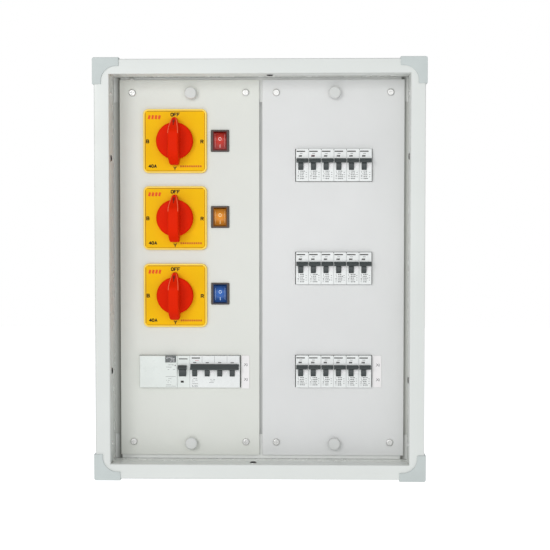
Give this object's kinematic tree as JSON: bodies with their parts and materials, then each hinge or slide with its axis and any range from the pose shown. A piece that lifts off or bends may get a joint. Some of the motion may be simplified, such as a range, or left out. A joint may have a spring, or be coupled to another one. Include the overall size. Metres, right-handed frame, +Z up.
{
  "type": "distribution board with phase selector switches",
  "caption": "Open wall-mounted distribution board: rotary phase selector switches, lit rockers, an incomer and rows of breakers behind two cover plates.",
  "frame": {"origin": "centre of the box's back face, where it meets the wall", "axes": "+Y into the wall, +Z up, +X to the right as the user faces the board; the front faces -Y"},
  "size_m": [0.4594, 0.1468, 0.5844],
  "materials": {
    "enclosure_paint": "fine powder coat, semi-matt",
    "bracket_paint": "thin powder coat",
    "cap_plastic": "moulded, satin",
    "knob_plastic": "moulded, satin",
    "plated_steel": "bright zinc plate",
    "zinc_rail": "zinc-plated, passivated",
    "white_case_plastic": "moulded, light gloss",
    "dark_toggle_plastic": "moulded, satin",
    "grey_button_plastic": "moulded, satin",
    "yellow_plastic": "moulded, light gloss",
    "red_plastic": "moulded, satin gloss",
    "black_plastic": "moulded, satin",
    "red_lens": "tinted, translucent",
    "amber_lens": "tinted, translucent",
    "blue_lens": "tinted, translucent",
    "brass": "machined",
    "copper": "rolled copper strip"
  },
  "bodies": {
    "enclosure": {"back_box": "enclosure_paint", "front_frame": "enclosure_paint", "corner_caps": "cap_plastic", "rivets": "plated_steel", "left_plate": "enclosure_paint", "right_plate": "enclosure_paint", "plate_screws": "plated_steel", "lifting_knobs": "knob_plastic", "plate_rails": "bracket_paint", "side_angles": "bracket_paint", "plate_nuts": "plated_steel", "centre_post": "bracket_paint", "din_rails": "zinc_rail", "rail_carriers": "bracket_paint", "machine_screws": "plated_steel", "row_1_cases": "white_case_plastic", "row_2_cases": "white_case_plastic", "row_3_cases": "white_case_plastic", "main_breaker_case": "white_case_plastic", "rccb_case": "white_case_plastic", "blanking_strips": "white_case_plastic", "selector_escutcheons": "yellow_plastic", "selector_decks": "black_plastic", "selector_bolts": "plated_steel", "rocker_housings": "black_plastic", "rocker_blades": "brass", "busbar_combs": "copper", "terminal_bars": "brass", "bar_insulators": "black_plastic", "terminal_screws": "brass"},
    "row_1_toggle_1": {"row_1_toggle_1": "dark_toggle_plastic"},
    "row_1_toggle_2": {"row_1_toggle_2": "dark_toggle_plastic"},
    "row_1_toggle_3": {"row_1_toggle_3": "dark_toggle_plastic"},
    "row_1_toggle_4": {"row_1_toggle_4": "dark_toggle_plastic"},
    "row_1_toggle_5": {"row_1_toggle_5": "dark_toggle_plastic"},
    "row_1_toggle_6": {"row_1_toggle_6": "dark_toggle_plastic"},
    "row_2_toggle_1": {"row_2_toggle_1": "dark_toggle_plastic"},
    "row_2_toggle_2": {"row_2_toggle_2": "dark_toggle_plastic"},
    "row_2_toggle_3": {"row_2_toggle_3": "dark_toggle_plastic"},
    "row_2_toggle_4": {"row_2_toggle_4": "dark_toggle_plastic"},
    "row_2_toggle_5": {"row_2_toggle_5": "dark_toggle_plastic"},
    "row_2_toggle_6": {"row_2_toggle_6": "dark_toggle_plastic"},
    "row_3_toggle_1": {"row_3_toggle_1": "dark_toggle_plastic"},
    "row_3_toggle_2": {"row_3_toggle_2": "dark_toggle_plastic"},
    "row_3_toggle_3": {"row_3_toggle_3": "dark_toggle_plastic"},
    "row_3_toggle_4": {"row_3_toggle_4": "dark_toggle_plastic"},
    "row_3_toggle_5": {"row_3_toggle_5": "dark_toggle_plastic"},
    "row_3_toggle_6": {"row_3_toggle_6": "dark_toggle_plastic"},
    "main_breaker_toggle": {"main_breaker_toggle": "dark_toggle_plastic"},
    "rccb_toggle": {"rccb_toggle": "dark_toggle_plastic"},
    "test_button": {"test_button": "grey_button_plastic"},
    "selector_1": {"selector_1_knob": "red_plastic", "selector_1_shaft": "plated_steel"},
    "selector_2": {"selector_2_knob": "red_plastic", "selector_2_shaft": "plated_steel"},
    "selector_3": {"selector_3_knob": "red_plastic", "selector_3_shaft": "plated_steel"},
    "rocker_1": {"rocker_1": "red_lens"},
    "rocker_2": {"rocker_2": "amber_lens"},
    "rocker_3": {"rocker_3": "blue_lens"}
  },
  "joints": [
    {"name": "row_1_toggle_1_throw", "type": "hinge", "parent": "enclosure", "child": "row_1_toggle_1", "pos_m": [0.0568, -0.097, 0.1467], "axis": [1, 0, 0], "range_deg": [0, 80]},
    {"name": "row_1_toggle_2_throw", "type": "hinge", "parent": "enclosure", "child": "row_1_toggle_2", "pos_m": [0.0746, -0.097, 0.1467], "axis": [1, 0, 0], "range_deg": [0, 80]},
    {"name": "row_1_toggle_3_throw", "type": "hinge", "parent": "enclosure", "child": "row_1_toggle_3", "pos_m": [0.0924, -0.097, 0.1467], "axis": [1, 0, 0], "range_deg": [0, 80]},
    {"name": "row_1_toggle_4_throw", "type": "hinge", "parent": "enclosure", "child": "row_1_toggle_4", "pos_m": [0.1102, -0.097, 0.1467], "axis": [1, 0, 0], "range_deg": [0, 80]},
    {"name": "row_1_toggle_5_throw", "type": "hinge", "parent": "enclosure", "child": "row_1_toggle_5", "pos_m": [0.128, -0.097, 0.1467], "axis": [1, 0, 0], "range_deg": [0, 80]},
    {"name": "row_1_toggle_6_throw", "type": "hinge", "parent": "enclosure", "child": "row_1_toggle_6", "pos_m": [0.1458, -0.097, 0.1467], "axis": [1, 0, 0], "range_deg": [0, 80]},
    {"name": "row_2_toggle_1_throw", "type": "hinge", "parent": "enclosure", "child": "row_2_toggle_1", "pos_m": [0.0568, -0.097, 0.0014], "axis": [1, 0, 0], "range_deg": [0, 80]},
    {"name": "row_2_toggle_2_throw", "type": "hinge", "parent": "enclosure", "child": "row_2_toggle_2", "pos_m": [0.0746, -0.097, 0.0014], "axis": [1, 0, 0], "range_deg": [0, 80]},
    {"name": "row_2_toggle_3_throw", "type": "hinge", "parent": "enclosure", "child": "row_2_toggle_3", "pos_m": [0.0924, -0.097, 0.0014], "axis": [1, 0, 0], "range_deg": [0, 80]},
    {"name": "row_2_toggle_4_throw", "type": "hinge", "parent": "enclosure", "child": "row_2_toggle_4", "pos_m": [0.1102, -0.097, 0.0014], "axis": [1, 0, 0], "range_deg": [0, 80]},
    {"name": "row_2_toggle_5_throw", "type": "hinge", "parent": "enclosure", "child": "row_2_toggle_5", "pos_m": [0.128, -0.097, 0.0014], "axis": [1, 0, 0], "range_deg": [0, 80]},
    {"name": "row_2_toggle_6_throw", "type": "hinge", "parent": "enclosure", "child": "row_2_toggle_6", "pos_m": [0.1458, -0.097, 0.0014], "axis": [1, 0, 0], "range_deg": [0, 80]},
    {"name": "row_3_toggle_1_throw", "type": "hinge", "parent": "enclosure", "child": "row_3_toggle_1", "pos_m": [0.0568, -0.097, -0.1448], "axis": [1, 0, 0], "range_deg": [0, 80]},
    {"name": "row_3_toggle_2_throw", "type": "hinge", "parent": "enclosure", "child": "row_3_toggle_2", "pos_m": [0.0746, -0.097, -0.1448], "axis": [1, 0, 0], "range_deg": [0, 80]},
    {"name": "row_3_toggle_3_throw", "type": "hinge", "parent": "enclosure", "child": "row_3_toggle_3", "pos_m": [0.0924, -0.097, -0.1448], "axis": [1, 0, 0], "range_deg": [0, 80]},
    {"name": "row_3_toggle_4_throw", "type": "hinge", "parent": "enclosure", "child": "row_3_toggle_4", "pos_m": [0.1102, -0.097, -0.1448], "axis": [1, 0, 0], "range_deg": [0, 80]},
    {"name": "row_3_toggle_5_throw", "type": "hinge", "parent": "enclosure", "child": "row_3_toggle_5", "pos_m": [0.128, -0.097, -0.1448], "axis": [1, 0, 0], "range_deg": [0, 80]},
    {"name": "row_3_toggle_6_throw", "type": "hinge", "parent": "enclosure", "child": "row_3_toggle_6", "pos_m": [0.1458, -0.097, -0.1448], "axis": [1, 0, 0], "range_deg": [0, 80]},
    {"name": "main_breaker_throw", "type": "hinge", "parent": "enclosure", "child": "main_breaker_toggle", "pos_m": [-0.065, -0.097, -0.1455], "axis": [1, 0, 0], "range_deg": [0, 80]},
    {"name": "rccb_throw", "type": "hinge", "parent": "enclosure", "child": "rccb_toggle", "pos_m": [-0.1109, -0.097, -0.1455], "axis": [1, 0, 0], "range_deg": [0, 80]},
    {"name": "test_button_press", "type": "slide", "parent": "enclosure", "child": "test_button", "axis": [0, 1, 0], "range_m": [0, 0.0015], "stiffness_N_per_m": 500, "springref_m": -0.001},
    {"name": "selector_1_turn", "type": "hinge", "parent": "enclosure", "child": "selector_1", "pos_m": [-0.121, -0.1, 0.1809], "axis": [0, 1, 0], "range_deg": [0, 270]},
    {"name": "selector_2_turn", "type": "hinge", "parent": "enclosure", "child": "selector_2", "pos_m": [-0.121, -0.1, 0.0723], "axis": [0, 1, 0], "range_deg": [0, 270]},
    {"name": "selector_3_turn", "type": "hinge", "parent": "enclosure", "child": "selector_3", "pos_m": [-0.121, -0.1, -0.0373], "axis": [0, 1, 0], "range_deg": [0, 270]},
    {"name": "rocker_1_throw", "type": "hinge", "parent": "enclosure", "child": "rocker_1", "pos_m": [-0.0574, -0.093, 0.1812], "axis": [-1, 0, 0], "range_deg": [0, 20]},
    {"name": "rocker_2_throw", "type": "hinge", "parent": "enclosure", "child": "rocker_2", "pos_m": [-0.0574, -0.093, 0.0738], "axis": [-1, 0, 0], "range_deg": [0, 20]},
    {"name": "rocker_3_throw", "type": "hinge", "parent": "enclosure", "child": "rocker_3", "pos_m": [-0.0574, -0.093, -0.0349], "axis": [-1, 0, 0], "range_deg": [0, 20]}
  ]
}
